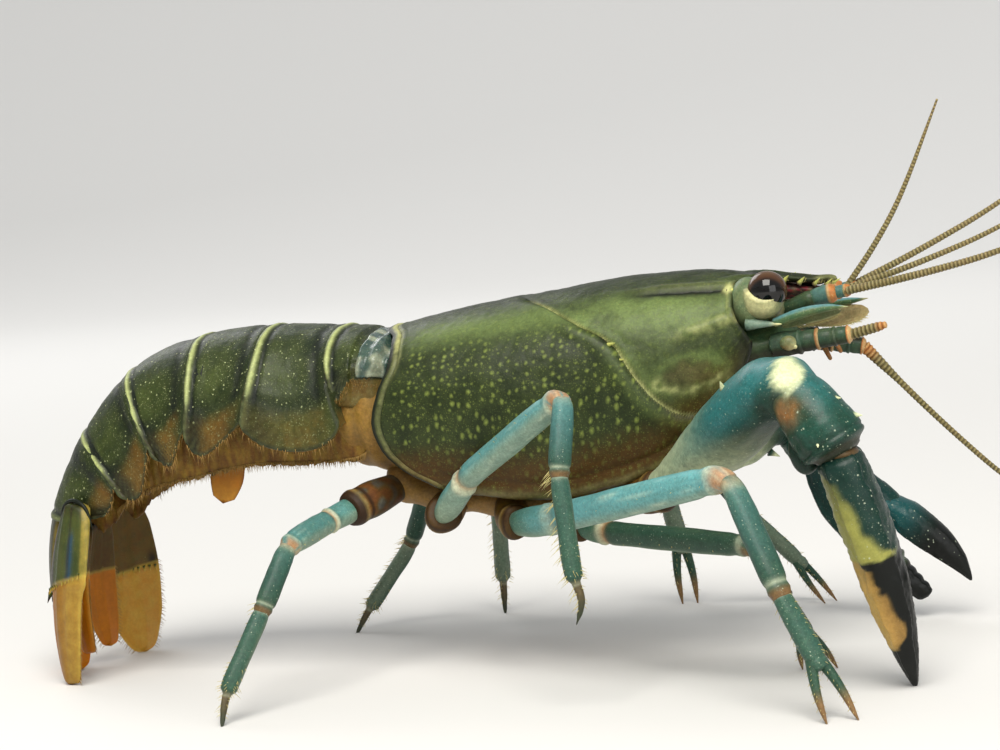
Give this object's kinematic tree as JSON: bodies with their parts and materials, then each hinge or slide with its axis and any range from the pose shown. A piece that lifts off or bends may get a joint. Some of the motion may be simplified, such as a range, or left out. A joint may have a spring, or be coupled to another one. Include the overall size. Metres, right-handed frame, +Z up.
{
  "type": "freshwater crayfish",
  "caption": "Still life-size freshwater crayfish standing on its walking legs, claws lowered, abdomen arched down to a tail fan that touches the floor.",
  "frame": {"origin": "middle of the animal's bounding box, on the floor it stands on", "axes": "+X towards the head, +Y towards the animal's left, +Z up"},
  "size_m": [0.146, 0.088, 0.0596],
  "materials": {
    "shell": "satin olive and dark green shell with pale specks and cream edges",
    "tail_fan": "thin satin plates, olive green turning orange towards the floor",
    "underside": "tan and brown, softer and duller than the back",
    "limb_shell": "satin teal and sky blue shell with pale specks",
    "claw_finger": "smooth, almost black",
    "soft_joint": "cream skin around the eyes and at the joints",
    "feeler": "olive and tan rings",
    "cornea": "wet gloss, nearly black"
  },
  "bodies": {
    "root": {"abdomen_1": "shell", "abdomen_2": "shell", "abdomen_3": "shell", "abdomen_4": "shell", "abdomen_5": "shell", "abdomen_6": "shell", "antenna_L": "limb_shell", "antenna_R": "limb_shell", "antenna_flagellum_L": "feeler", "antenna_flagellum_R": "feeler", "antenna_scale_L": "limb_shell", "antenna_scale_R": "limb_shell", "antennule_L": "feeler", "antennule_R": "feeler", "carapace": "shell", "claw_L_carpus": "limb_shell", "claw_L_finger": "claw_finger", "claw_L_merus": "limb_shell", "claw_L_palm": "limb_shell", "claw_R_carpus": "limb_shell", "claw_R_finger": "claw_finger", "claw_R_merus": "limb_shell", "claw_R_palm": "limb_shell", "eye_L": "cornea", "eye_R": "cornea", "eyestalk_L": "soft_joint", "eyestalk_R": "soft_joint", "face": "limb_shell", "leg_2_L_carpus": "limb_shell", "leg_2_L_merus": "limb_shell", "leg_2_L_pincer": "limb_shell", "leg_2_R_carpus": "limb_shell", "leg_2_R_merus": "limb_shell", "leg_2_R_pincer": "limb_shell", "leg_3_L_carpus": "limb_shell", "leg_3_L_merus": "limb_shell", "leg_3_L_pincer": "limb_shell", "leg_3_R_carpus": "limb_shell", "leg_3_R_merus": "limb_shell", "leg_3_R_pincer": "limb_shell", "leg_4_L_carpus": "limb_shell", "leg_4_L_foot": "limb_shell", "leg_4_L_merus": "limb_shell", "leg_4_R_carpus": "limb_shell", "leg_4_R_foot": "limb_shell", "leg_4_R_merus": "limb_shell", "leg_5_L_carpus": "limb_shell", "leg_5_L_foot": "limb_shell", "leg_5_L_merus": "limb_shell", "leg_5_R_carpus": "limb_shell", "leg_5_R_foot": "limb_shell", "leg_5_R_merus": "limb_shell", "maxilliped_L": "underside", "maxilliped_R": "underside", "telson": "tail_fan", "thorax": "underside", "uropod_L_inner": "tail_fan", "uropod_L_outer": "tail_fan", "uropod_R_inner": "tail_fan", "uropod_R_outer": "tail_fan"}
  },
  "joints": []
}
